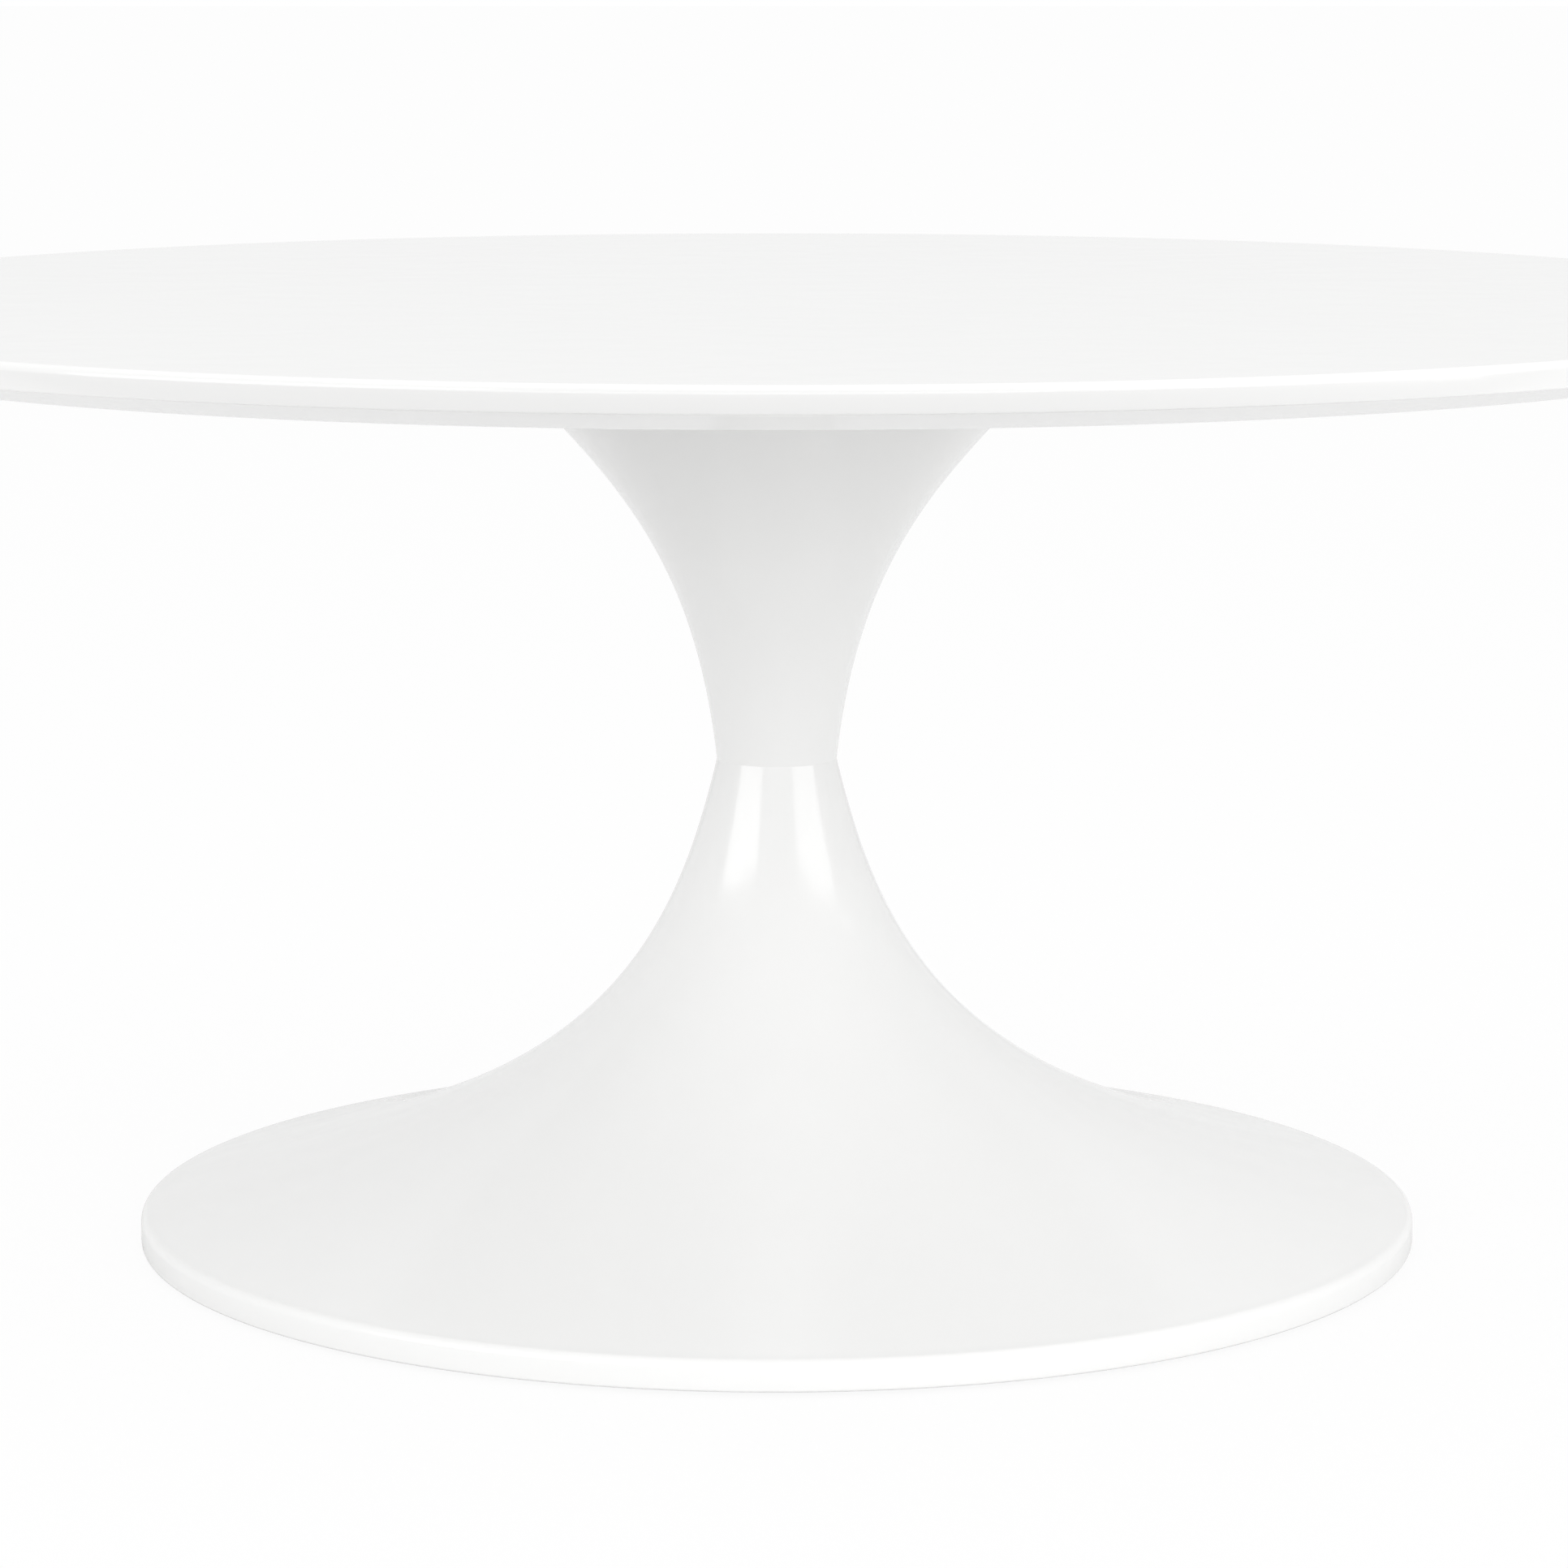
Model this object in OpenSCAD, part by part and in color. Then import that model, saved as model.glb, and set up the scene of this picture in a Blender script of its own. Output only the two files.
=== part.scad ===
// Round pedestal coffee table: a bevelled round top on an hourglass pedestal made of two
// trumpets that meet at a narrow waist, clamped together by one rod through the middle.
// Millimetres. The floor is z = 0, the table's axis is the Z axis.

/* [Tabletop] */

// Diameter of the tabletop
top_d = 900; // [840:10:960]
// Height of the upper face above the floor
table_h = 410; // [395:5:430]
// Thickness of the top at its flat underside
top_t = 19; // [17:0.5:22]
// Radius of the rounded upper edge
top_edge_r = 3.2; // [2:0.2:5]
// Height of the upright edge together with its rounded upper corner
top_edge_h = 10.3; // [8:0.1:12]
// Width of the bevel under the edge
top_bevel_w = 36; // [24:1:48]

/* [Pedestal] */

// Height of the crease where the two trumpets meet
waist_z = 209.5; // [200:0.5:215]
// Outer radius at the crease
waist_r = 26; // [25:0.5:30]
// Sheet thickness of both trumpets
wall = 3; // [2.5:0.5:3.5]
// Outer radius of the upper trumpet's mouth
mouth_r = 126.5; // [120:0.5:135]
// Lean of the upper trumpet's wall at the crease, degrees from upright
upper_waist_lean = 6.3; // [4:0.1:9]
// How far the upper curve keeps its waist direction
upper_waist_reach = 96.6; // [85:0.1:105]
// Lean of the upper trumpet's wall at its mouth, degrees from upright
upper_mouth_lean = 43.5; // [40:0.5:48]
// How far the upper curve keeps its mouth direction
upper_mouth_reach = 72.4; // [60:0.1:80]
// Lean of the lower trumpet's wall at the crease, degrees from upright
lower_waist_lean = 13.3; // [10:0.1:16]
// How far the lower curve keeps its waist direction
lower_waist_reach = 98.4; // [90:0.1:105]
// Slope of the foot where it reaches the rim, degrees from level
foot_slope = 13.1; // [12:0.1:15]
// How far the lower curve keeps its rim direction
foot_reach = 191.7; // [180:0.1:200]

/* [Foot] */

// Diameter of the foot
foot_d = 555; // [540:1:580]
// Gap between the rim and the floor
rim_gap = 2; // [1.6:0.1:2.4]
// Height of the rim's upper edge above the floor
rim_top_z = 15; // [14.6:0.1:16]
// Radius of the rim's rounded upper edge
rim_edge_r = 4; // [3:0.5:5]
// Thickness of the steel plate that closes the foot
plate_t = 6; // [5:0.5:6]

/* [Fixings] */

// Diameter of the steel disc screwed under the top
disc_d = 220; // [206:2:222]
// Pitch circle of the six disc screws
disc_pcd = 180; // [160:2:184]
// Diameter of the clamping rod
rod_d = 12; // [11:0.5:12.5]
// Pitch circle of the four levelling glides
glide_pcd = 400; // [380:5:420]
// Diameter of a glide's pad
pad_d = 35; // [30:1:38]

/* [Hidden] */

$fn = 96;

white = [0.93, 0.93, 0.92];
zinc = [0.66, 0.68, 0.70];
plate_grey = [0.30, 0.31, 0.32];
brass_tone = [0.78, 0.62, 0.32];
black = [0.06, 0.06, 0.06];
nylon = [0.82, 0.81, 0.77];

// Levels of the clamped stack, from the top down.
under_z = table_h - top_t;
gasket_t = 1;
mouth_z = under_z - gasket_t;
lip_t = 3;
lip_r = mouth_r - 11.5;
disc_t = 5;
disc_z = under_z - disc_t;
boss_r = 15;
boss_h = 24;
rod_r = rod_d / 2;
rod_fit = 0.05;

// M6 screws that hold the disc to the inserts in the top.
screw_n = 6;
screw_r = 3;
screw_grip = 18;
screw_head_r = 5.25;
screw_head_h = 3.3;
screw_hex = 4;
screw_hex_deep = 2;
screw_hole_r = 3.3;
screw_washer_r = 6;
screw_washer_t = 1.6;
spring_washer_r = 5.4;
insert_r = 5;
insert_h = 12;
insert_bore_r = 3.03;
insert_pocket_h = 13;
head_z = disc_z - 2 * screw_washer_t;

// The waist, where a spigot lines the two trumpets up.
land_r = 22.5;
land_h = 14;
spigot_r = 22.3;
spigot_h = 25;
spigot_chamfer = 1.5;

// The foot, with its plate let into the back of the rim.
foot_r = foot_d / 2;
seat_z = 12;
rebate_r = foot_r - 12.7;
ledge_r = foot_r - 19;
plate_r = rebate_r - 0.3;
plate_z = seat_z - plate_t;
rim_foot_r = 1.2;

// The cup that the rod's nut pulls up against the plate.
cup_r = 32;
cup_bore_r = 29;
cup_brim_r = 50;
cup_brim_t = 3;
cup_top_z = 30;
cup_top_t = 3;
plate_hole_r = cup_r + 0.2;
clamp_washer_r = 18;
clamp_washer_t = 3;
clamp_spring_r = 10.5;
clamp_spring_t = 2.5;
nut_af = 19;
nut_h = 10;
nut_z = cup_top_z - cup_top_t - clamp_washer_t - clamp_spring_t - nut_h;
rod_foot_z = nut_z - 2.5;
rod_head_z = under_z - 2;
cap_r = 34;
cap_t = 1.5;
cap_plug_r = 28.9;
cap_plug_wall = 2.4;
cap_plug_h = 5;

// The levelling glides.
glide_n = 4;
glide_r = glide_pcd / 2;
stem_r = 4;
stem_top_z = 24.5;
stem_foot_r = 5;
stem_foot_z = 1.6;
stem_foot_h = 2.4;
collar_af = 13;
collar_z = 5.2;
collar_h = 6.4;
pad_h = 5;
pad_clear = 0.1;
glide_hole_r = 9;
nut_flange_r = 14;
nut_flange_t = 2.5;
glide_nut_af = 14;
glide_nut_h = 5.5;
glide_bore_r = stem_r + 0.05;

curve_steps = 28;
round_steps = 6;

// The point at t (0 to 1) of the curve with control points p.
function curve(p, t) =
    pow(1 - t, 3) * p[0] + 3 * pow(1 - t, 2) * t * p[1]
    + 3 * (1 - t) * t * t * p[2] + t * t * t * p[3];

// The curve's direction at t.
function heading(p, t) =
    pow(1 - t, 2) * (p[1] - p[0]) + 2 * (1 - t) * t * (p[2] - p[1])
    + t * t * (p[3] - p[2]);

// The point that lies d to the left of the curve at t.
function beside(p, t, d) =
    let (h = heading(p, t))
    curve(p, t) + d * [-h[1], h[0]] / norm(h);

function upper_points() = [
    [waist_r, waist_z],
    [waist_r + upper_waist_reach * sin(upper_waist_lean),
     waist_z + upper_waist_reach * cos(upper_waist_lean)],
    [mouth_r - upper_mouth_reach * sin(upper_mouth_lean),
     mouth_z - upper_mouth_reach * cos(upper_mouth_lean)],
    [mouth_r, mouth_z]
];

function lower_points() = [
    [waist_r, waist_z],
    [waist_r + lower_waist_reach * sin(lower_waist_lean),
     waist_z - lower_waist_reach * cos(lower_waist_lean)],
    [foot_r - rim_edge_r - foot_reach * cos(foot_slope),
     rim_top_z + foot_reach * sin(foot_slope)],
    [foot_r - rim_edge_r, rim_top_z]
];

// A quarter round about c from angle a to angle b.
function round_points(c, r, a, b) = [
    for (i = [0 : round_steps])
        c + r * [cos(a + (b - a) * i / round_steps), sin(a + (b - a) * i / round_steps)]
];

module ring(outer, inner, z, h) {
    translate([0, 0, z])
    difference() {
        cylinder(h = h, r = outer);
        translate([0, 0, -1])
            cylinder(h = h + 2, r = inner);
    }
}

module hex_prism(af, z, h) {
    translate([0, 0, z])
        cylinder(h = h, r = af / (2 * cos(30)), $fn = 6);
}

module around(count, radius, first = 0) {
    for (i = [0 : count - 1])
        rotate([0, 0, first + 360 * i / count])
            translate([radius, 0, 0])
                children();
}

module at_glide(n) {
    rotate([0, 0, 45 + 90 * (n - 1)])
        translate([glide_r, 0, 0])
            children();
}

module tabletop() {
    top_r = top_d / 2;
    color(white)
    difference() {
        rotate_extrude()
        polygon(concat(
            [[0, under_z], [top_r - top_bevel_w, under_z], [top_r, table_h - top_edge_h]],
            round_points([top_r - top_edge_r, table_h - top_edge_r], top_edge_r, 0, 90),
            [[0, table_h]]
        ));
        around(screw_n, disc_pcd / 2)
            translate([0, 0, under_z - 1])
                cylinder(h = insert_pocket_h + 1, r = insert_r);
    }
}

module threaded_inserts() {
    color(brass_tone)
    around(screw_n, disc_pcd / 2)
        ring(insert_r, insert_bore_r, under_z, insert_h);
}

module mounting_disc() {
    color(plate_grey)
    difference() {
        ring(disc_d / 2, rod_r + 1, disc_z, disc_t);
        around(screw_n, disc_pcd / 2)
            translate([0, 0, disc_z - 1])
                cylinder(h = disc_t + 2, r = screw_hole_r);
    }
}

module rod_boss() {
    color(plate_grey)
    ring(boss_r, rod_r + rod_fit, disc_z - boss_h, boss_h);
}

module disc_flat_washers() {
    color(zinc)
    around(screw_n, disc_pcd / 2)
        ring(screw_washer_r, screw_hole_r, disc_z - screw_washer_t, screw_washer_t);
}

module disc_spring_washers() {
    color(zinc)
    around(screw_n, disc_pcd / 2)
        ring(spring_washer_r, screw_hole_r, head_z, screw_washer_t);
}

module disc_screw() {
    difference() {
        union() {
            translate([0, 0, head_z])
                cylinder(h = screw_grip, r = screw_r);
            translate([0, 0, head_z - screw_head_h])
                cylinder(h = screw_head_h, r1 = screw_head_r - 1.4, r2 = screw_head_r);
        }
        hex_prism(screw_hex, head_z - screw_head_h - 1, screw_hex_deep + 1);
    }
}

module disc_screws() {
    color(zinc)
    around(screw_n, disc_pcd / 2)
        disc_screw();
}

module mouth_gasket() {
    color(black)
    ring(mouth_r + 0.6, mouth_r - 5.5, mouth_z, gasket_t);
}

module upper_trumpet() {
    p = upper_points();
    outer = [for (i = [0 : curve_steps]) curve(p, i / curve_steps)];
    inner = [
        for (i = [curve_steps : -1 : 0])
            let (q = beside(p, i / curve_steps, wall))
            if (q[1] > waist_z + land_h && q[1] < mouth_z - lip_t) q
    ];
    lip_join = inner[0] + [(mouth_z - lip_t - inner[0][1]) * tan(upper_mouth_lean), 0];
    color(white)
    rotate_extrude()
    polygon(concat(
        outer,
        [[lip_r, mouth_z], [lip_r, mouth_z - lip_t], [lip_join[0], mouth_z - lip_t]],
        inner,
        [[inner[len(inner) - 1][0], waist_z + land_h],
         [land_r, waist_z + land_h], [land_r, waist_z]]
    ));
}

module neck_spigot() {
    low = waist_z - spigot_h / 2;
    high = waist_z + spigot_h / 2;
    color(plate_grey)
    rotate_extrude()
    polygon([
        [rod_r + 0.6, low], [spigot_r - spigot_chamfer, low], [spigot_r, low + spigot_chamfer],
        [spigot_r, high - spigot_chamfer], [spigot_r - spigot_chamfer, high], [rod_r + 0.6, high]
    ]);
}

module lower_trumpet() {
    p = lower_points();
    outer = [for (i = [0 : curve_steps]) curve(p, i / curve_steps)];
    inner = [
        for (i = [curve_steps : -1 : 0])
            let (q = beside(p, i / curve_steps, -wall))
            if (q[1] < waist_z - land_h && q[0] < ledge_r) q
    ];
    ledge_top = inner[0][1] - (ledge_r - inner[0][0]) * tan(foot_slope);
    color(white)
    rotate_extrude()
    polygon(concat(
        outer,
        round_points([foot_r - rim_edge_r, rim_top_z - rim_edge_r], rim_edge_r, 75, 0),
        round_points([foot_r - rim_foot_r, rim_gap + rim_foot_r], rim_foot_r, 0, -90),
        [[rebate_r, rim_gap], [rebate_r, seat_z], [ledge_r, seat_z], [ledge_r, ledge_top]],
        inner,
        [[inner[len(inner) - 1][0], waist_z - land_h],
         [land_r, waist_z - land_h], [land_r, waist_z]]
    ));
}

module tie_rod() {
    color(zinc)
    translate([0, 0, rod_foot_z])
        cylinder(h = rod_head_z - rod_foot_z, r = rod_r);
}

module base_plate() {
    color(plate_grey)
    difference() {
        ring(plate_r, plate_hole_r, plate_z, plate_t);
        around(glide_n, glide_r, 45)
            translate([0, 0, plate_z - 1])
                cylinder(h = plate_t + 2, r = glide_hole_r);
    }
}

module clamp_cup() {
    color(zinc)
    rotate_extrude()
    polygon([
        [cup_bore_r, plate_z - cup_brim_t], [cup_brim_r, plate_z - cup_brim_t],
        [cup_brim_r, plate_z], [cup_r, plate_z], [cup_r, cup_top_z],
        [rod_r + 0.5, cup_top_z], [rod_r + 0.5, cup_top_z - cup_top_t],
        [cup_bore_r, cup_top_z - cup_top_t]
    ]);
}

module clamp_washer() {
    color(zinc)
    ring(clamp_washer_r, rod_r + 0.5, cup_top_z - cup_top_t - clamp_washer_t, clamp_washer_t);
}

module clamp_spring_washer() {
    color(zinc)
    ring(clamp_spring_r, rod_r + 0.3, nut_z + nut_h, clamp_spring_t);
}

module clamp_nut() {
    color(zinc)
    difference() {
        hex_prism(nut_af, nut_z, nut_h);
        translate([0, 0, nut_z - 1])
            cylinder(h = nut_h + 2, r = rod_r + rod_fit);
    }
}

module access_cap() {
    color(black)
    rotate_extrude()
    polygon([
        [0, plate_z - cup_brim_t - cap_t], [cap_r, plate_z - cup_brim_t - cap_t],
        [cap_r, plate_z - cup_brim_t], [cap_plug_r, plate_z - cup_brim_t],
        [cap_plug_r, plate_z - cup_brim_t + cap_plug_h],
        [cap_plug_r - cap_plug_wall, plate_z - cup_brim_t + cap_plug_h],
        [cap_plug_r - cap_plug_wall, plate_z - cup_brim_t], [0, plate_z - cup_brim_t]
    ]);
}

module glide_nuts() {
    color(plate_grey)
    around(glide_n, glide_r, 45)
    difference() {
        union() {
            translate([0, 0, seat_z])
                cylinder(h = nut_flange_t, r = nut_flange_r);
            hex_prism(glide_nut_af, seat_z + nut_flange_t, glide_nut_h);
        }
        translate([0, 0, seat_z - 1])
            cylinder(h = nut_flange_t + glide_nut_h + 2, r = glide_bore_r);
    }
}

module glide_stem(n) {
    color(zinc)
    at_glide(n) {
        translate([0, 0, stem_foot_z])
            cylinder(h = stem_top_z - stem_foot_z, r = stem_r);
        translate([0, 0, stem_foot_z])
            cylinder(h = stem_foot_h, r = stem_foot_r);
        hex_prism(collar_af, collar_z, collar_h);
    }
}

module glide_pad(n) {
    pocket_z = stem_foot_z - pad_clear;
    pocket_top = stem_foot_z + stem_foot_h + pad_clear;
    pad_r = pad_d / 2;
    color(nylon)
    at_glide(n)
    rotate_extrude()
    polygon([
        [0, 0], [pad_r - 1, 0], [pad_r, 1], [pad_r, pad_h - 1.5], [pad_r - 1.5, pad_h],
        [stem_r + pad_clear, pad_h], [stem_r + pad_clear, pocket_top],
        [stem_foot_r + pad_clear, pocket_top], [stem_foot_r + pad_clear, pocket_z],
        [0, pocket_z]
    ]);
}

tabletop();
threaded_inserts();
mounting_disc();
rod_boss();
disc_flat_washers();
disc_spring_washers();
disc_screws();
mouth_gasket();
upper_trumpet();
neck_spigot();
lower_trumpet();
tie_rod();
base_plate();
clamp_cup();
clamp_washer();
clamp_spring_washer();
clamp_nut();
access_cap();
glide_nuts();
glide_stem(1);  // glide_stem_1
glide_stem(2);  // glide_stem_2
glide_stem(3);  // glide_stem_3
glide_stem(4);  // glide_stem_4
glide_pad(1);  // glide_pad_1
glide_pad(2);  // glide_pad_2
glide_pad(3);  // glide_pad_3
glide_pad(4);  // glide_pad_4
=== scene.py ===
import math

import bmesh
import bpy
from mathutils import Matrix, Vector


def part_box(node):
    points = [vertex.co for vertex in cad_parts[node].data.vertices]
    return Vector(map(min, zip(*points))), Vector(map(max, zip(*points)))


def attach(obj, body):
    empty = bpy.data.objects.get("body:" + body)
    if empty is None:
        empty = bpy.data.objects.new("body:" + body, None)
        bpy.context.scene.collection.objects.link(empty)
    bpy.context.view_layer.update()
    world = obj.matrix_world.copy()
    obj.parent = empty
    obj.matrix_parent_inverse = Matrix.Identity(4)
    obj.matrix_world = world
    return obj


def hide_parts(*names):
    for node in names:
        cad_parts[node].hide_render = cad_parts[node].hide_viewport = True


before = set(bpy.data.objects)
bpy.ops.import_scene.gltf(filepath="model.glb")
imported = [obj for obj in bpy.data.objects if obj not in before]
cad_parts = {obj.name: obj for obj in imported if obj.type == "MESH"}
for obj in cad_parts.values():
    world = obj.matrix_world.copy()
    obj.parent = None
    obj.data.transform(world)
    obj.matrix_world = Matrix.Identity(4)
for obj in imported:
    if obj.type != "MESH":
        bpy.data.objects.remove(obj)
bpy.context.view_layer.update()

# The table in metres, in the frame's own axes: +Z up, the floor at z = 0. Heights that the
# frame holds are read from its nodes, and the rest are the values of its driving dimensions.
MM = 0.001
TAU = 2 * math.pi
SMOOTH = 320  # sides of a large turned surface
FINE = 96  # sides of a small one
CREASE = math.radians(32)  # edges sharper than this stay sharp

top_low, top_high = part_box("tabletop")
upper_low, upper_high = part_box("upper_trumpet")
foot_low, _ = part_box("lower_trumpet")
UNDER_Z, TABLE_H = top_low.z, top_high.z
WAIST_Z, MOUTH_Z = upper_low.z, upper_high.z
RIM_GAP = foot_low.z

TOP_R, EDGE_H, EDGE_ROUND, BEVEL_W = 450 * MM, 10.3 * MM, 3.2 * MM, 36 * MM
MOUTH_R, WAIST_R, FOOT_R = 126.5 * MM, 26 * MM, 277.5 * MM
WALL = 3 * MM
LIP_W = 11.5 * MM  # the flange turned inwards at the upper trumpet's mouth
LAND_R, LAND_H = 22.5 * MM, 14 * MM  # the bore in each waist that takes the spigot
RIM_TOP_Z, RIM_ROUND, RIM_FOOT_ROUND = 15 * MM, 4 * MM, 1.2 * MM
SEAT_Z, REBATE_W, LEDGE_W = 12 * MM, 12.7 * MM, 19 * MM  # the step that takes the foot plate

# How far each trumpet's curve keeps its direction at either end, and that direction in degrees
# from upright.
UPPER_WAIST, UPPER_MOUTH = (96.6 * MM, 6.3), (72.4 * MM, 43.5)
LOWER_WAIST, LOWER_RIM = (98.4 * MM, 13.3), (191.7 * MM, 90 - 13.1)


# ---------------------------------------------------------------- outlines

def lean(start, reach, degrees_from_upright, up=1):
    """The point reached from start along a wall that leans outwards from upright."""
    a = math.radians(degrees_from_upright)
    return (start[0] + reach * math.sin(a), start[1] + up * reach * math.cos(a))


def bezier(p, t):
    """The point at t of a cubic curve, and the unit normal to its left."""
    weights = (1 - t) ** 3, 3 * t * (1 - t) ** 2, 3 * t * t * (1 - t), t ** 3
    x, z = (sum(w * q[i] for w, q in zip(weights, p)) for i in (0, 1))
    dx, dz = (
        (1 - t) ** 2 * (p[1][i] - p[0][i])
        + 2 * t * (1 - t) * (p[2][i] - p[1][i])
        + t * t * (p[3][i] - p[2][i])
        for i in (0, 1)
    )
    n = math.hypot(dx, dz)
    return (x, z), (-dz / n, dx / n)


def arc(cx, cz, r, start, end, steps=8):
    """Points round (cx, cz) from one angle to another, in degrees."""
    angles = (math.radians(start + (end - start) * i / steps) for i in range(steps + 1))
    return [(cx + r * math.cos(a), cz + r * math.sin(a)) for a in angles]


def upper_curve():
    waist, mouth = (WAIST_R, WAIST_Z), (MOUTH_R, MOUTH_Z)
    (from_waist, waist_lean), (from_mouth, mouth_lean) = UPPER_WAIST, UPPER_MOUTH
    return [waist, lean(waist, from_waist, waist_lean), lean(mouth, -from_mouth, mouth_lean),
            mouth]


def lower_curve():
    waist, rim = (WAIST_R, WAIST_Z), (FOOT_R - RIM_ROUND, RIM_TOP_Z)
    (from_waist, waist_lean), (from_rim, rim_lean) = LOWER_WAIST, LOWER_RIM
    return [waist, lean(waist, from_waist, waist_lean, -1), lean(rim, -from_rim, rim_lean, -1),
            rim]


# ---------------------------------------------------------------- mesh code

def turned(rows, sides=FINE):
    """A solid made of rings. Each row is (radius, height), where the radius is a number or a
    function of the angle, and the rows run round the solid's closed cross-section. A row of
    radius 0 is one point on the axis."""
    verts, faces, starts = [], [], []
    for radius, z in rows:
        starts.append(len(verts))
        if radius == 0:
            verts.append((0, 0, z))
            continue
        for i in range(sides):
            a = TAU * i / sides
            r = radius(a) if callable(radius) else radius
            verts.append((r * math.cos(a), r * math.sin(a), z))
    for k, start in enumerate(starts):
        m = (k + 1) % len(rows)
        lower, upper = rows[k][0] != 0, rows[m][0] != 0
        for i in range(sides):
            j = (i + 1) % sides
            if lower and upper:
                faces.append((start + i, start + j, starts[m] + j, starts[m] + i))
            elif lower:
                faces.append((start + i, start + j, starts[m]))
            elif upper:
                faces.append((start, starts[m] + j, starts[m] + i))
    return verts, faces


def hexagon(across_flats, limit=1.0):
    """Radius of a hexagon at an angle, cut off at a limit."""
    def radius(a):
        off = a % (math.pi / 3) - math.pi / 6
        return min(across_flats / 2 / math.cos(off), limit)
    return radius


def hex_nut_rows(across_flats, bore, z0, z1):
    """A hexagon nut with both ends of its corners turned off and a countersunk bore."""
    corner, flat = across_flats / math.sqrt(3), across_flats / 2
    cut, sink = 0.55 * (corner - flat), 0.08 * bore
    return [
        (bore, z0 + sink), (bore + sink, z0), (flat * 0.97, z0),
        (hexagon(across_flats, flat * 1.01), z0 + 0.2 * cut), (hexagon(across_flats), z0 + cut),
        (hexagon(across_flats), z1 - cut), (hexagon(across_flats, flat * 1.01), z1 - 0.2 * cut),
        (flat * 0.97, z1), (bore + sink, z1), (bore, z1 - sink),
    ]


def thread(radius, pitch, z0, z1, sides=36):
    """A screw thread with a helical crest and root, closed by flat ends with a small lead-in.
    It starts a turn below z0 and ends above z1, and what lies past an end is pressed flat."""
    depth, lead = 0.55 * pitch, 0.8 * pitch
    profile = (0.0, 0.0, 0.5, 1.0, 1.0, 0.5)  # how deep the rows of one turn lie
    rows_a_turn = len(profile)
    count = int((z1 - z0) / pitch + 3) * rows_a_turn
    verts, faces = [], []
    for row in range(count + 1):
        for i in range(sides):
            z = z0 + pitch * ((row - rows_a_turn) / rows_a_turn + i / sides)
            r = radius - depth * profile[row % rows_a_turn]
            from_end = max(0, min(z - z0, z1 - z))
            r = min(r, radius - depth * max(0, 1 - from_end / lead))
            a = TAU * i / sides
            verts.append((r * math.cos(a), r * math.sin(a), min(max(z, z0), z1)))

    def edge(row, i):
        """The ends of one edge along the helix. After its last side a row meets the row that
        lies one turn on."""
        step = 1 if i < sides - 1 else rows_a_turn * sides - sides + 1
        return row * sides + i, row * sides + i + step

    for row in range(count - rows_a_turn):
        for i in range(sides):
            a, b = edge(row, i)
            faces.append((a, b, b + sides, a + sides))
    for z, row in ((z0, 0), (z1, count - rows_a_turn)):
        middle = len(verts)
        verts.append((0, 0, z))
        for i in range(sides):
            a, b = edge(row, i)
            faces.append((middle, b, a) if z == z0 else (middle, a, b))
    return verts, faces


def bead(radius, width, z, ripples, sides=288):
    """A weld bead round the axis: a rounded ring whose surface is drawn out in ripples."""
    verts, faces = [], []
    wave, section = 0.12, 12  # depth of the ripples, and points round the bead's section
    for i in range(sides):
        a = TAU * i / sides
        w = width * (1 + wave * math.sin(ripples * a) + 0.5 * wave * math.sin(3 * a + 1))
        for j in range(section):
            b = TAU * j / section
            r = radius + w * math.cos(b)
            verts.append((r * math.cos(a), r * math.sin(a), z + w * math.sin(b)))
    for i in range(sides):
        n = (i + 1) % sides
        for j in range(section):
            k = (j + 1) % section
            faces.append((i * section + j, n * section + j, n * section + k, i * section + k))
    return verts, faces


def split_ring(inner, outer, z, height, sides=72):
    """A spring washer: a square-section ring with one slanted cut and a little rise left in it."""
    gap, slant, rise = 0.28, 0.098, 0.07  # radians, radians and a share of the height
    verts, faces = [], []
    for i in range(sides + 1):
        a = gap / 2 + (TAU - gap) * i / sides
        lift = rise * height * (i / sides - 0.5)
        for r, h in ((inner, 0), (outer, 0), (outer, height), (inner, height)):
            turn = a + slant * (h / height - 0.5)
            h = min(max(h + lift, 0), height)
            verts.append((r * math.cos(turn), r * math.sin(turn), z + h))
    for i in range(sides):
        for j in range(4):
            k = (j + 1) % 4
            faces.append((4 * i + j, 4 * i + 4 + j, 4 * i + 4 + k, 4 * i + k))
    end = 4 * sides
    return verts, faces + [(0, 1, 2, 3), (end + 3, end + 2, end + 1, end)]


def moved(part, x, y, turn):
    """The same solid turned about the axis, in radians, and then shifted."""
    c, s = math.cos(turn), math.sin(turn)
    return [(x + c * a - s * b, y + s * a + c * b, z) for a, b, z in part[0]], part[1]


def around(part, count, radius, first=0.0):
    """Copies of a solid set evenly round a pitch circle."""
    angles = [first + TAU * i / count for i in range(count)]
    return [moved(part, radius * math.cos(a), radius * math.sin(a), a) for a in angles]


def joined(name, parts):
    """One mesh made of the given solids. Doubled points are merged, every face is turned
    outwards and shaded smooth, and edges sharper than CREASE stay sharp."""
    verts, faces = [], []
    for part_verts, part_faces in parts:
        base = len(verts)
        verts += part_verts
        faces += [tuple(base + i for i in f) for f in part_faces]
    mesh = bpy.data.meshes.new(name)
    mesh.from_pydata(verts, [], faces)
    bm = bmesh.new()
    bm.from_mesh(mesh)
    same_point = 1e-6
    bmesh.ops.remove_doubles(bm, verts=bm.verts, dist=same_point)
    bmesh.ops.dissolve_degenerate(bm, edges=bm.edges, dist=same_point)
    bmesh.ops.recalc_face_normals(bm, faces=bm.faces)
    for f in bm.faces:
        f.smooth = True
    bm.to_mesh(mesh)
    bm.free()
    mesh.set_sharp_from_angle(angle=CREASE)
    return mesh


def placed(name, data):
    """A new object in the scene."""
    obj = bpy.data.objects.new(name, data)
    bpy.context.scene.collection.objects.link(obj)
    return obj


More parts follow.
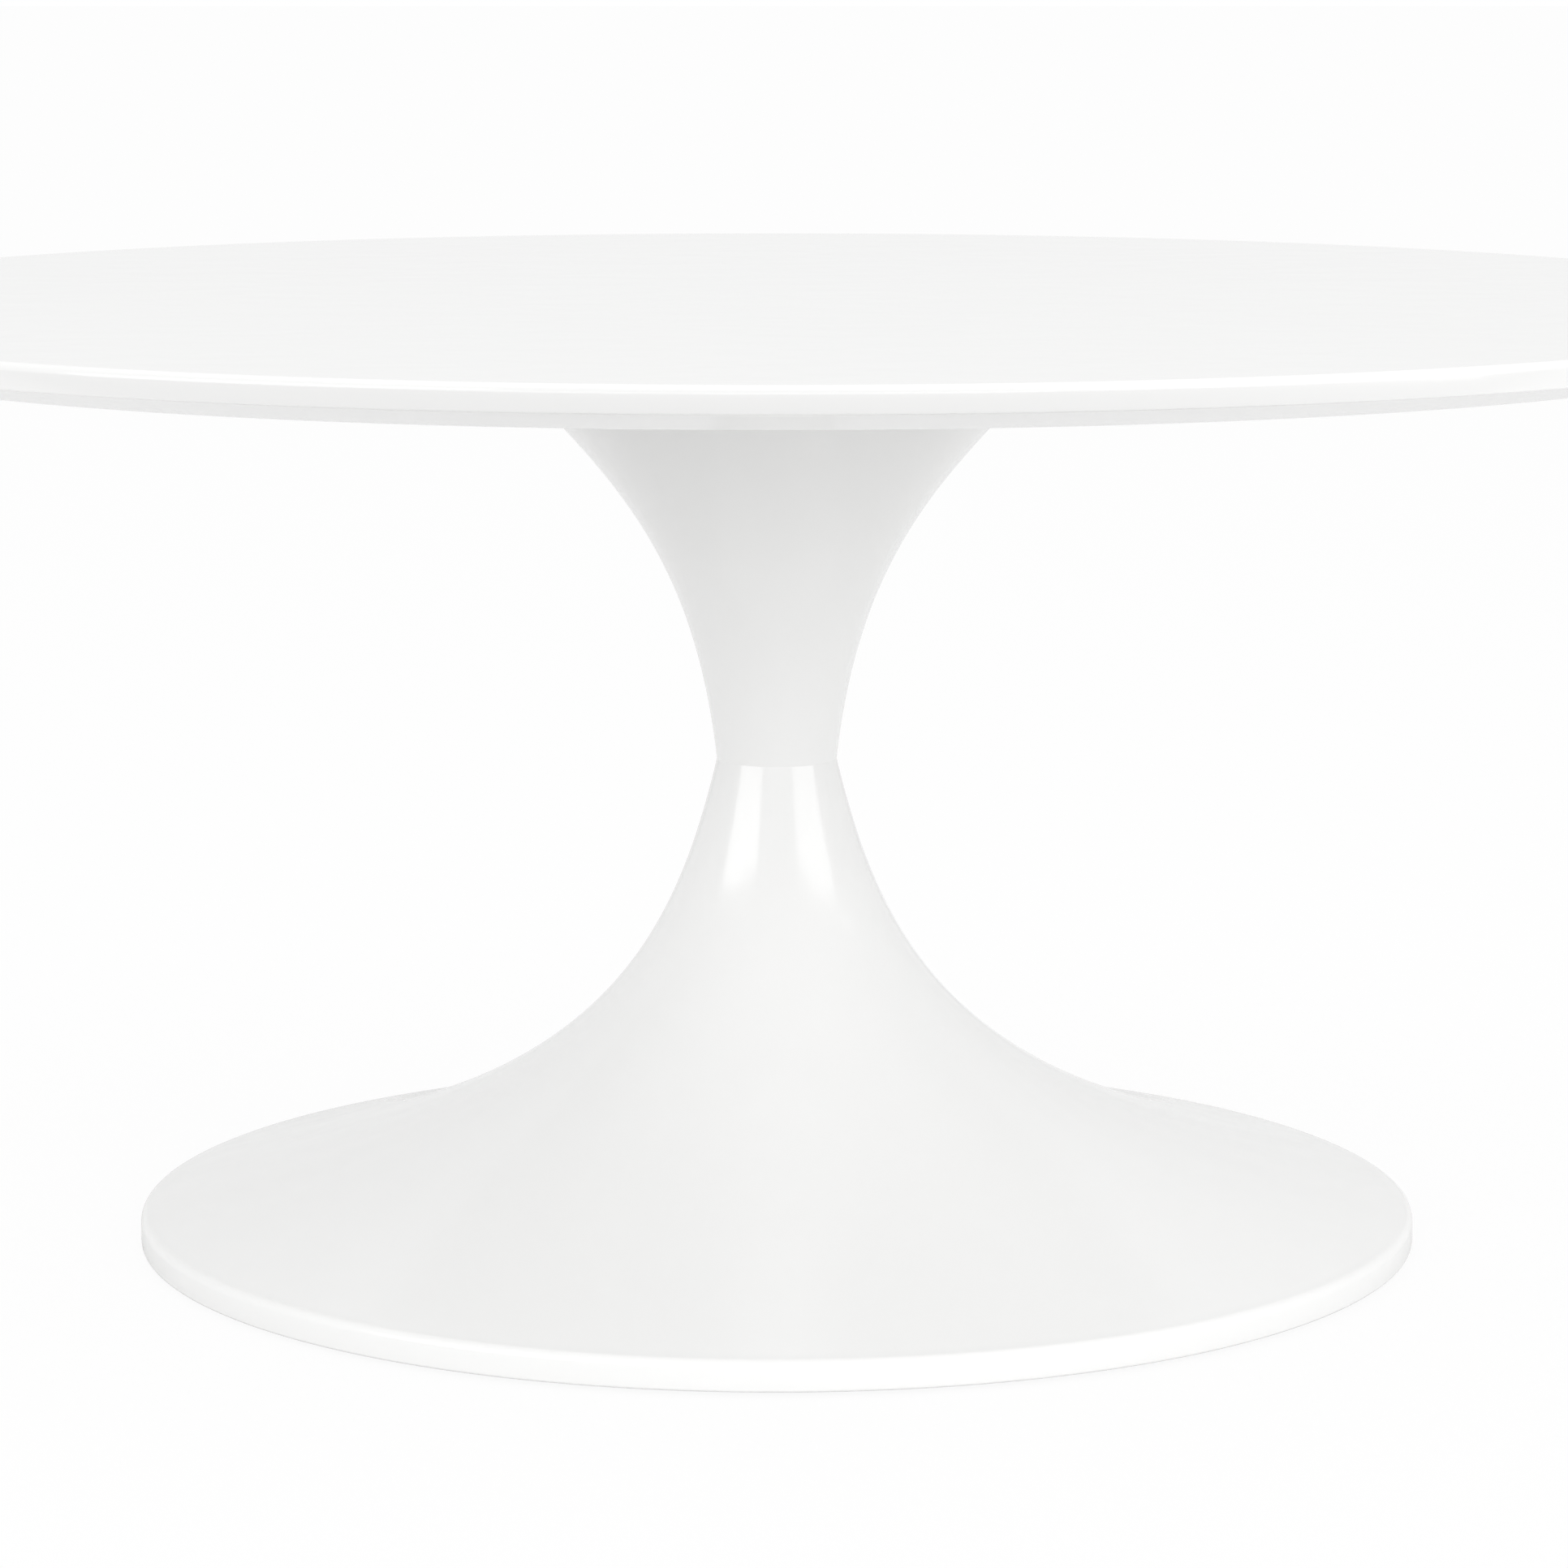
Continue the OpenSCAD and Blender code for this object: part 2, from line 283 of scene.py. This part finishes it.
def piece(name, body, nodes, parts, material):
    """One visible piece made of one or more solids, riding on a body in place of CAD nodes."""
    mesh = joined(name, parts)
    mesh.materials.append(material)
    obj = placed(name, mesh)
    if nodes:
        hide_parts(*nodes)
    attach(obj, body)
    return obj


def drill(obj, cutters):
    """Cuts holes through a piece. The cutters are solids like those of piece()."""
    cutter = placed("cutter", joined("cutter", cutters))
    cut = obj.modifiers.new("holes", "BOOLEAN")
    cut.object, cut.operation, cut.solver = cutter, "DIFFERENCE", "EXACT"
    graph = bpy.context.evaluated_depsgraph_get()
    mesh = bpy.data.meshes.new_from_object(obj.evaluated_get(graph))
    obj.modifiers.clear()
    obj.data = mesh
    mesh.set_sharp_from_angle(angle=CREASE)
    bpy.data.objects.remove(cutter)


# ---------------------------------------------------------------- materials

def surface(name, colour, roughness, vary, vary_scale, rough_vary, rough_scale=60.0,
            metallic=0.0, relief=None, stretch=(1, 1, 1), coat=0.0, coat_roughness=0.05):
    """A finish whose colour and roughness vary over the surface, and where relief is given, a
    height in metres and a scale, its level does too. Scales are those of the noise, per metre."""
    m = bpy.data.materials.new(name)
    m.use_nodes = True
    nodes, link = m.node_tree.nodes, m.node_tree.links.new
    shader = nodes["Principled BSDF"]
    shader.inputs["Metallic"].default_value = metallic
    shader.inputs["IOR"].default_value = 1.5
    shader.inputs["Coat Weight"].default_value = coat
    shader.inputs["Coat Roughness"].default_value = coat_roughness
    where = nodes.new("ShaderNodeTexCoord")
    stretched = nodes.new("ShaderNodeMapping")
    stretched.inputs["Scale"].default_value = stretch
    link(where.outputs["Object"], stretched.inputs["Vector"])

    def noise(scale, detail=3.0):
        n = nodes.new("ShaderNodeTexNoise")
        n.inputs["Scale"].default_value = scale
        n.inputs["Detail"].default_value = detail
        link(stretched.outputs["Vector"], n.inputs["Vector"])
        return n.outputs["Fac"]

    def spread(value, to_min, to_max):
        """The middle part of a noise, where nearly all of it lies, drawn out to a range."""
        drawn_out = nodes.new("ShaderNodeMapRange")
        for key, limit in (("From Min", 0.3), ("From Max", 0.7), ("To Min", to_min),
                           ("To Max", to_max)):
            drawn_out.inputs[key].default_value = limit
        link(value, drawn_out.inputs["Value"])
        return drawn_out.outputs["Result"]

    blend = nodes.new("ShaderNodeMix")
    blend.data_type = "RGBA"
    blend.inputs["A"].default_value = (*[c * (1 - vary) for c in colour], 1)
    blend.inputs["B"].default_value = (*[min(c * (1 + vary), 1) for c in colour], 1)
    link(spread(noise(vary_scale), 0.0, 1.0), blend.inputs["Factor"])
    link(blend.outputs["Result"], shader.inputs["Base Color"])
    link(spread(noise(rough_scale), roughness - rough_vary, roughness + rough_vary),
         shader.inputs["Roughness"])

    if relief:
        height, scale = relief
        bump = nodes.new("ShaderNodeBump")
        bump.inputs["Strength"].default_value = 1.0
        bump.inputs["Distance"].default_value = height
        link(noise(scale, 2.0), bump.inputs["Height"])
        link(bump.outputs["Normal"], shader.inputs["Normal"])
    return m


WHITE = (0.85, 0.85, 0.845)
top_lacquer = surface("white_lacquer_on_board", WHITE, roughness=0.22, vary=0.003, vary_scale=3,
                      rough_vary=0.015, rough_scale=25, coat=0.5, coat_roughness=0.06)
metal_lacquer = surface("white_lacquer_on_metal", WHITE, roughness=0.22, vary=0.004, vary_scale=4,
                        rough_vary=0.02, rough_scale=30, coat=0.6, coat_roughness=0.1)
zinc = surface("zinc_plate", (0.62, 0.64, 0.67), metallic=1.0, roughness=0.32, vary=0.07,
               vary_scale=90, rough_vary=0.08, rough_scale=400, relief=(0.4e-5, 1500))
black_steel = surface("black_dip_coat", (0.025, 0.026, 0.028), roughness=0.42, vary=0.2,
                      vary_scale=25, rough_vary=0.08, relief=(1.5e-5, 900))
bare_steel = surface("turned_steel", (0.42, 0.42, 0.43), metallic=1.0, roughness=0.35, vary=0.08,
                     vary_scale=40, rough_vary=0.1, relief=(1e-5, 60), stretch=(1, 1, 40))
brass = surface("insert_brass", (0.78, 0.56, 0.25), metallic=1.0, roughness=0.3, vary=0.06,
                vary_scale=150, rough_vary=0.06, relief=(0.5e-5, 1200))
rubber = surface("black_rubber", (0.02, 0.02, 0.021), roughness=0.8, vary=0.25, vary_scale=60,
                 rough_vary=0.08, relief=(3e-5, 1800))
plastic = surface("black_moulding", (0.022, 0.022, 0.023), roughness=0.55, vary=0.12,
                  vary_scale=40, rough_vary=0.06, relief=(2e-5, 2500))
nylon = surface("white_nylon", (0.74, 0.73, 0.68), roughness=0.5, vary=0.04, vary_scale=70,
                rough_vary=0.07, relief=(1.2e-5, 1500))


# ---------------------------------------------------------------- top and pedestal

def make_top():
    """The board: flat underneath, then the bevel, the upright edge and the rounded upper edge.
    A small round eases the corner between bevel and edge, and a large one the bevel's foot."""
    ease, foot_round = 0.8 * MM, 6 * MM
    side_z = TABLE_H - EDGE_H
    low_r = TOP_R - BEVEL_W
    slope = math.degrees(math.atan2(side_z - UNDER_Z, BEVEL_W))
    c, s = math.cos(math.radians(slope)), math.sin(math.radians(slope))
    tangent = ease * (1 - s) / c
    rows = [(0, UNDER_Z), (low_r - 14 * MM, UNDER_Z), (low_r - 1.5 * MM, UNDER_Z)]
    rows += arc(low_r - 0.8 * MM, UNDER_Z + foot_round, foot_round, -90, -90 + slope, 4)
    rows += [(low_r + 3 * MM, UNDER_Z + 3 * MM * s / c)]
    rows += [(TOP_R - 4 * MM, side_z - 4 * MM * s / c)]
    rows += arc(TOP_R - ease, side_z + tangent, ease, -90 + slope, 0, 6)
    rows += [(TOP_R, TABLE_H - EDGE_ROUND - 2 * MM)]
    rows += arc(TOP_R - EDGE_ROUND, TABLE_H - EDGE_ROUND, EDGE_ROUND, 0, 90, 12)
    rows += [(TOP_R - EDGE_ROUND - 1.5 * MM, TABLE_H), (TOP_R - 16 * MM, TABLE_H), (0, TABLE_H)]
    piece("top_board", "table", ["tabletop"], [turned(rows, SMOOTH)], top_lacquer)


def wall_rows(curve, steps, wall):
    """A trumpet's outer surface from the waist on, and its inner one back to the waist. The
    wall is measured to the left of the curve."""
    points = [bezier(curve, i / steps) for i in range(steps + 1)]
    outer = [place for place, normal in points]
    inner = [(x + wall * nx, z + wall * nz) for (x, z), (nx, nz) in reversed(points)]
    return outer, inner


def land_rows(inner, land_z):
    """The step from a trumpet's inner surface to the bore for the spigot, and that bore."""
    return [(inner[-1][0], land_z), (LAND_R, land_z), (LAND_R, WAIST_Z)]


def make_upper_trumpet():
    lip_z, lip_r, land_z = MOUTH_Z - WALL, MOUTH_R - LIP_W, WAIST_Z + LAND_H
    outer, inner = wall_rows(upper_curve(), 96, WALL)
    inner = [(x, z) for x, z in inner if land_z < z < lip_z]
    rows = outer + [(lip_r, MOUTH_Z), (lip_r, lip_z), (inner[0][0] + 0.5 * MM, lip_z)] + inner
    rows += land_rows(inner, land_z)
    piece("upper_trumpet_shell", "table", ["upper_trumpet"], [turned(rows, SMOOTH)],
          metal_lacquer)


def make_lower_trumpet():
    rebate_r, ledge_r, land_z = FOOT_R - REBATE_W, FOOT_R - LEDGE_W, WAIST_Z - LAND_H
    outer, inner = wall_rows(lower_curve(), 128, -WALL)
    inner = [(x, z) for x, z in inner if z < land_z and x < ledge_r]
    rows = outer + arc(FOOT_R - RIM_ROUND, RIM_TOP_Z - RIM_ROUND, RIM_ROUND, 74, 0, 10)
    rows += arc(FOOT_R - RIM_FOOT_ROUND, RIM_GAP + RIM_FOOT_ROUND, RIM_FOOT_ROUND, 0, -90, 6)
    rows += [(rebate_r, RIM_GAP), (rebate_r, SEAT_Z), (ledge_r, SEAT_Z)]
    rows += [(ledge_r, inner[0][1])] + inner
    rows += land_rows(inner, land_z)
    piece("lower_trumpet_shell", "table", ["lower_trumpet"], [turned(rows, SMOOTH)],
          metal_lacquer)


make_top()
make_upper_trumpet()
make_lower_trumpet()


# ---------------------------------------------------------------- fixings

# The outlines below are rows of (radius, height) in millimetres, like those of turned(). z0 and
# z1 are the lowest and highest point of the CAD node that the outline takes the place of.
SCREWS, SCREW_PITCH_R = 6, 90 * MM
GLIDES, GLIDE_PITCH_R, GLIDE_START = 4, 200 * MM, math.pi / 4
M6_R, M6_PITCH = 3 * MM, 1 * MM
M8_R, M8_PITCH = 4 * MM, 1.25 * MM
M12_R, M12_PITCH = 6 * MM, 1.75 * MM
NUT_PLAY = 0.05 * MM  # between a nut's bore and the thread in it


def span(node):
    """The lowest and highest point of a node."""
    low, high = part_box(node)
    return low.z, high.z


def span_mm(node):
    """The same in millimetres."""
    return (z / MM for z in span(node))


def scaled(rows):
    """Rows in millimetres as rows in metres. A hexagon or knurl is given in metres already."""
    return [(r if callable(r) else r * MM, z * MM) for r, z in rows]


def knurled(tip, depth, teeth):
    """Radius of a knurl at an angle."""
    def radius(a):
        return tip - depth * 0.5 * (1 - math.cos(teeth * a))
    return radius


def make_inserts():
    """Brass inserts with a knurled band between two grooves."""
    z0, z1 = span_mm("threaded_inserts")
    knurl = knurled(5 * MM, 0.55 * MM, 24)
    rows = scaled([
        (3.03, z0 + 0.4), (3.4, z0), (4.7, z0), (5, z0 + 0.3), (5, z0 + 1.3), (4.4, z0 + 1.6),
        (4.4, z0 + 2.3), (knurl, z0 + 2.6), (knurl, z1 - 2.4), (4.4, z1 - 2.1), (4.4, z1 - 1.5),
        (4.7, z1 - 1.2), (4.5, z1 - 0.2), (4.3, z1), (3.4, z1), (3.03, z1 - 0.4),
    ])
    piece("top_inserts", "table", ["threaded_inserts"],
          around(turned(rows), SCREWS, SCREW_PITCH_R), brass)


def make_screws():
    """Button-head screws, heads down, with a hexagon socket."""
    z0, z1 = span_mm("disc_screws")
    head_z, socket = z0 + 3.3, hexagon(4 * MM)
    rows = scaled([(0, z0 + 2), (socket, z0 + 2), (socket, z0 + 0.3), (2.6, z0), (3.4, z0)])
    rows += scaled(arc(2.9, z0 + 2.6, 2.3, -75, -8, 6))
    rows += scaled([(5.25, head_z - 0.4), (5.1, head_z), (0, head_z)])
    screw = [turned(rows), thread(M6_R, M6_PITCH, (head_z - 0.1) * MM, z1 * MM)]
    piece("disc_button_screws", "table", ["disc_screws"],
          [copy for part in screw for copy in around(part, SCREWS, SCREW_PITCH_R)],
          zinc)


def make_spring_washers():
    """The six small split rings under the screws' heads, and the large one over the nut."""
    z0, z1 = span("disc_spring_washers")
    small = split_ring(3.3 * MM, 5.4 * MM, z0, z1 - z0)
    piece("disc_spring_rings", "table", ["disc_spring_washers"],
          around(small, SCREWS, SCREW_PITCH_R), zinc)
    z0, z1 = span("clamp_spring_washer")
    large = split_ring(6.3 * MM, 10.5 * MM, z0, z1 - z0)
    piece("clamp_spring_ring", "table", ["clamp_spring_washer"], [large], zinc)


def make_gasket():
    """The rubber ring, with both of its edges pressed round."""
    z0, z1 = span_mm("mouth_gasket")
    middle, half = (z0 + z1) / 2, 0.5
    rows = arc(126.6, middle, half, -90, 90, 6) + arc(121.5, middle, half, 90, 270, 6)
    piece("mouth_seal", "table", ["mouth_gasket"], [turned(scaled(rows), SMOOTH)], rubber)


def make_rod():
    """The rod, with a thread at either end of a plain shank, and the nut on its lower end."""
    z0, z1 = span("tie_rod")
    low_end, high_start = z0 + 42 * MM, z1 - 34 * MM
    shank = turned([(0, low_end - MM), (M12_R, low_end - MM),
                    (M12_R, high_start + MM), (0, high_start + MM)])
    parts = [thread(M12_R, M12_PITCH, z0, low_end, 48), shank,
             thread(M12_R, M12_PITCH, high_start, z1, 48)]
    piece("clamping_rod", "table", ["tie_rod"], parts, zinc)
    nut = turned(hex_nut_rows(19 * MM, M12_R + NUT_PLAY, *span("clamp_nut")))
    piece("clamping_nut", "table", ["clamp_nut"], [nut], zinc)


def make_welds():
    """The bead that holds the boss to the disc, and those round the weld nuts' flanges."""
    boss_top, plate_top = span("rod_boss")[1], span("base_plate")[1]
    boss_ring = bead(15.4 * MM, 1.5 * MM, boss_top - 0.3 * MM, 46)
    nut_ring = bead(14.1 * MM, 0.9 * MM, plate_top + 0.2 * MM, 30, 144)
    piece("boss_weld", "table", [], [boss_ring], black_steel)
    piece("glide_nut_welds", "table", [], around(nut_ring, GLIDES, GLIDE_PITCH_R, GLIDE_START),
          black_steel)


def make_base_plate():
    """The plate that closes the foot, with chamfered edges and four holes for the glides."""
    z0, z1 = span_mm("base_plate")
    rim, bore = FOOT_R / MM - 13, 32.2
    rows = scaled([
        (bore, z0 + 0.5), (bore + 0.5, z0), (rim - 2, z0), (rim - 0.6, z0), (rim, z0 + 0.6),
        (rim, z1 - 0.6), (rim - 0.6, z1), (rim - 2, z1), (bore + 0.5, z1), (bore, z1 - 0.5),
    ])
    plate = piece("foot_plate", "table", ["base_plate"], [turned(rows, SMOOTH)], black_steel)
    hole = turned(scaled([(0, z0 - 1), (10, z0 - 1), (9, z0 + 0.5), (9, z1 - 0.5), (10, z1 + 1),
                          (0, z1 + 1)]))
    drill(plate, around(hole, GLIDES, GLIDE_PITCH_R, GLIDE_START))


def make_cup():
    """The pressed cup under the plate, with the bends that pressing leaves."""
    z0, z1 = span_mm("clamp_cup")
    rows = [(49.4, z0), (50, z0 + 0.6), (50, z0 + 2.4), (49.4, z0 + 3), (32.4, z0 + 3)]
    rows += [(32, z0 + 3.2)] + arc(29, z1 - 3, 3, 0, 90) + [(7, z1), (6.5, z1 - 0.5)]
    rows += [(6.5, z1 - 2.5), (7, z1 - 3)]
    rows += arc(27, z1 - 5, 2, 90, 0) + arc(31.5, z0 + 2.5, 2.5, 180, 270)
    piece("pressed_cup", "table", ["clamp_cup"], [turned(scaled(rows), 192)], zinc)


def make_cap():
    """The snap-in cap: a rounded flange with a moulded ring, and a plug with a snap bead."""
    z0, z1 = span_mm("access_cap")
    rows = [(0, z0 + 0.5), (3, z0 + 0.5), (3.6, z0), (24, z0), (24.6, z0 + 0.4), (25.6, z0 + 0.4)]
    rows += [(26.2, z0)] + arc(33.2, z0 + 0.8, 0.8, -90, 0, 5) + [(34, z0 + 1.3), (33.8, z0 + 1.5)]
    rows += [(28.6, z0 + 1.5), (28.6, z1 - 2.2), (28.9, z1 - 1.6), (28.6, z1 - 0.4), (28.2, z1)]
    rows += [(26.8, z1), (26.5, z1 - 0.3), (26.5, z0 + 1.5), (0, z0 + 1.5)]
    piece("snap_cap", "table", ["access_cap"], [turned(scaled(rows), 144)], plastic)


def make_glide_nuts():
    """Weld nuts: a hexagon on a round flange."""
    z0, z1 = span_mm("glide_nuts")
    hexes, rounded = hexagon(14 * MM), hexagon(14 * MM, 7.1 * MM)
    bore = (M8_R + NUT_PLAY) / MM
    rows = scaled([
        (bore, z0 + 0.4), (4.5, z0), (13.6, z0), (14, z0 + 0.4), (14, z0 + 2.1), (13.6, z0 + 2.5),
        (hexes, z0 + 2.5), (hexes, z1 - 0.6), (rounded, z1 - 0.1), (6.8, z1), (4.5, z1),
        (bore, z1 - 0.4),
    ])
    piece("glide_weld_nuts", "table", ["glide_nuts"],
          around(turned(rows), GLIDES, GLIDE_PITCH_R, GLIDE_START), black_steel)


def make_glides():
    """Each glide is a screw with a hexagon collar, whose foot turns in a nylon pad."""
    hexes, rounded = hexagon(13 * MM), hexagon(13 * MM, 6.6 * MM)
    for n in range(1, GLIDES + 1):
        a = GLIDE_START + TAU * (n - 1) / GLIDES
        place = (GLIDE_PITCH_R * math.cos(a), GLIDE_PITCH_R * math.sin(a), a)
        z0, z1 = span_mm(f"glide_stem_{n}")
        rows = scaled([
            (0, z0), (4.5, z0), (5, z0 + 0.5), (5, z0 + 1.9), (4.5, z0 + 2.4), (4, z0 + 2.5),
            (4, z0 + 3.6), (6.2, z0 + 3.6), (rounded, z0 + 3.7), (hexes, z0 + 4.2),
            (hexes, z0 + 9.4), (rounded, z0 + 9.9), (6.2, z0 + 10), (0, z0 + 10),
        ])
        screw = [turned(rows), thread(M8_R, M8_PITCH, (z0 + 9.9) * MM, z1 * MM)]
        piece(f"glide_{n}_screw", f"stem_{n}", [f"glide_stem_{n}"],
              [moved(part, *place) for part in screw], zinc)
        # the pad's outline starts at the floor
        rows = [(0, 0), (9.5, 0), (10, 0.35), (11.5, 0.35), (12, 0), (15.5, 0)]
        rows += arc(16.3, 1.2, 1.2, -90, 0, 5) + arc(16, 3.5, 1.5, 0, 90, 5)
        rows += [(8.6, 5), (8.2, 4.7), (6.2, 4.7), (5.8, 5), (4.4, 5), (4.1, 4.7)]
        rows += [(4.1, 4.1), (5.1, 4.1), (5.1, 1.5), (0, 1.5)]
        piece(f"glide_{n}_pad", f"pad_{n}", [f"glide_pad_{n}"],
              [moved(turned(scaled(rows)), *place)], nylon)


def finish_cad_nodes():
    """The plain turned parts keep their CAD shape and get their finish."""
    finishes = {"mounting_disc": black_steel, "rod_boss": black_steel, "neck_spigot": bare_steel,
                "disc_flat_washers": zinc, "clamp_washer": zinc}
    for name, finish in finishes.items():
        for material_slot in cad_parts[name].material_slots:
            material_slot.material = finish


make_inserts()
make_screws()
make_spring_washers()
make_gasket()
make_rod()
make_welds()
make_base_plate()
make_cup()
make_cap()
make_glide_nuts()
make_glides()
finish_cad_nodes()


# ---------------------------------------------------------------- camera

CAMERA_PLACE = (0, -2.350, 0.574)
CAMERA_DIP, CAMERA_TURN = 9.09, -0.076  # degrees below level, and anticlockwise from +Y
SENSOR, LENS = 36, 125.9  # mm


def make_camera():
    """A long lens a little above the top. Its axis passes just to the right of the table's."""
    data = bpy.data.cameras.new("camera")
    data.sensor_width, data.lens = SENSOR, LENS
    camera = placed("camera", data)
    camera.location = CAMERA_PLACE
    camera.rotation_euler = (math.radians(90 - CAMERA_DIP), 0, math.radians(CAMERA_TURN))
    bpy.context.scene.camera = camera


make_camera()


# ---------------------------------------------------------------- studio

PAINTED_SHADE_START, PAINTED_SHADE_END = -0.65, -1.1  # along Y, where the floor's painted shade starts and where it is darkest
WHITE_FLOOR, DARK_FLOOR = 0.88, 0.2  # how much light it gives back before and after that
FLOOR_HALF = 30.0
FLOOR_GLOW, SHADOW_TRACE = 0.93, 0.06  # what the camera sees of it: plain white, and shadows
SKY_LIGHT, SKY_SEEN = 0.885, 1.0


def split_by_ray(tree, light, seen, output):
    """The camera sees one shader, and every other ray meets the other."""
    ray = tree.nodes.new("ShaderNodeLightPath")
    choose = tree.nodes.new("ShaderNodeMixShader")
    tree.links.new(ray.outputs["Is Camera Ray"], choose.inputs[0])
    tree.links.new(light.outputs[0], choose.inputs[1])
    tree.links.new(seen.outputs[0], choose.inputs[2])
    tree.links.new(choose.outputs[0], output.inputs["Surface"])


def make_floor():
    """A white floor with painted shade: to every ray but the camera's it grows dark towards the
    camera. It lights the table as a matt floor would, shadows and all, while the camera sees it
    burnt out to white with only a trace of those shadows, as in a cut-out picture."""
    mesh = bpy.data.meshes.new("studio_floor")
    corners = ((-1, -1), (1, -1), (1, 1), (-1, 1))
    mesh.from_pydata([(FLOOR_HALF * x, FLOOR_HALF * y, 0) for x, y in corners], [],
                     [(0, 1, 2, 3)])
    floor = placed("studio_floor", mesh)
    m = bpy.data.materials.new("studio_floor")
    m.use_nodes = True
    nodes, link = m.node_tree.nodes, m.node_tree.links.new
    nodes.clear()
    out = nodes.new("ShaderNodeOutputMaterial")
    glow = nodes.new("ShaderNodeEmission")
    faint = nodes.new("ShaderNodeBsdfDiffuse")
    seen = nodes.new("ShaderNodeAddShader")
    matt = nodes.new("ShaderNodeBsdfDiffuse")
    glow.inputs["Color"].default_value = (1, 1, 1, 1)
    glow.inputs["Strength"].default_value = FLOOR_GLOW
    faint.inputs["Color"].default_value = (SHADOW_TRACE, SHADOW_TRACE, SHADOW_TRACE, 1)
    place = nodes.new("ShaderNodeNewGeometry")
    axes = nodes.new("ShaderNodeSeparateXYZ")
    # painted shade: the floor's colour, as lighting rays meet it, darkens along Y towards the
    # camera
    floor_painted_shade = nodes.new("ShaderNodeMapRange")
    for key, value in (("From Min", PAINTED_SHADE_END), ("From Max", PAINTED_SHADE_START),
                       ("To Min", DARK_FLOOR), ("To Max", WHITE_FLOOR)):
        floor_painted_shade.inputs[key].default_value = value
    link(place.outputs["Position"], axes.inputs[0])
    link(axes.outputs["Y"], floor_painted_shade.inputs["Value"])
    link(floor_painted_shade.outputs["Result"], matt.inputs["Color"])
    link(glow.outputs[0], seen.inputs[0])
    link(faint.outputs[0], seen.inputs[1])
    split_by_ray(m.node_tree, matt, seen, out)
    mesh.materials.append(m)


def make_world():
    """White all round, and a little less white as a light than as what the camera sees."""
    world = bpy.data.worlds.new("studio")
    world.use_nodes = True
    nodes = world.node_tree.nodes
    back, out = nodes["Background"], nodes["World Output"]
    back.inputs["Color"].default_value = (1, 1, 1, 1)
    back.inputs["Strength"].default_value = SKY_LIGHT
    seen = nodes.new("ShaderNodeBackground")
    seen.inputs["Color"].default_value = (1, 1, 1, 1)
    seen.inputs["Strength"].default_value = SKY_SEEN
    split_by_ray(world.node_tree, back, seen, out)
    bpy.context.scene.world = world


def softbox(name, azimuth, distance, height, width, tall, brightness, roll=0):
    """A rectangular light that faces the table's waist. Azimuth 0 is on the camera's side, the
    brightness is that of its face, where 1 is white, and roll turns it in its own plane."""
    data = bpy.data.lights.new(name, "AREA")
    data.shape, data.size, data.size_y = "RECTANGLE", width, tall
    data.energy = math.pi * width * tall * brightness
    light = placed(name, data)
    a = math.radians(azimuth)
    light.location = (distance * math.sin(a), -distance * math.cos(a), height)
    aim = Vector((0, 0, 0.2)) - light.location  # the waist's height
    light.rotation_euler = aim.to_track_quat("-Z", "Y").to_euler()
    light.rotation_euler.rotate_axis("Z", math.radians(roll))


make_floor()
make_world()
for box in (  # name, azimuth, distance, height, width, tall, brightness and roll
    ("left_softbox", -50, 2.8, 1.18, 2.3, 1.05, 2.2, 8),
    ("right_softbox", 52, 2.8, 1.03, 2.3, 1.4, 1.78, -8),
    ("front_fill", 0, 2.8, 0.75, 2.8, 0.6, 1.7),
    ("high_right_fill", 65, 2.6, 2.3, 2.5, 1.2, 0.75),
    ("overhead_fill", 0, 0.01, 3.0, 2.4, 2.4, 0.44),
):
    softbox(*box)
bpy.context.scene.view_settings.view_transform = "Standard"
bpy.context.scene.view_settings.look = "None"
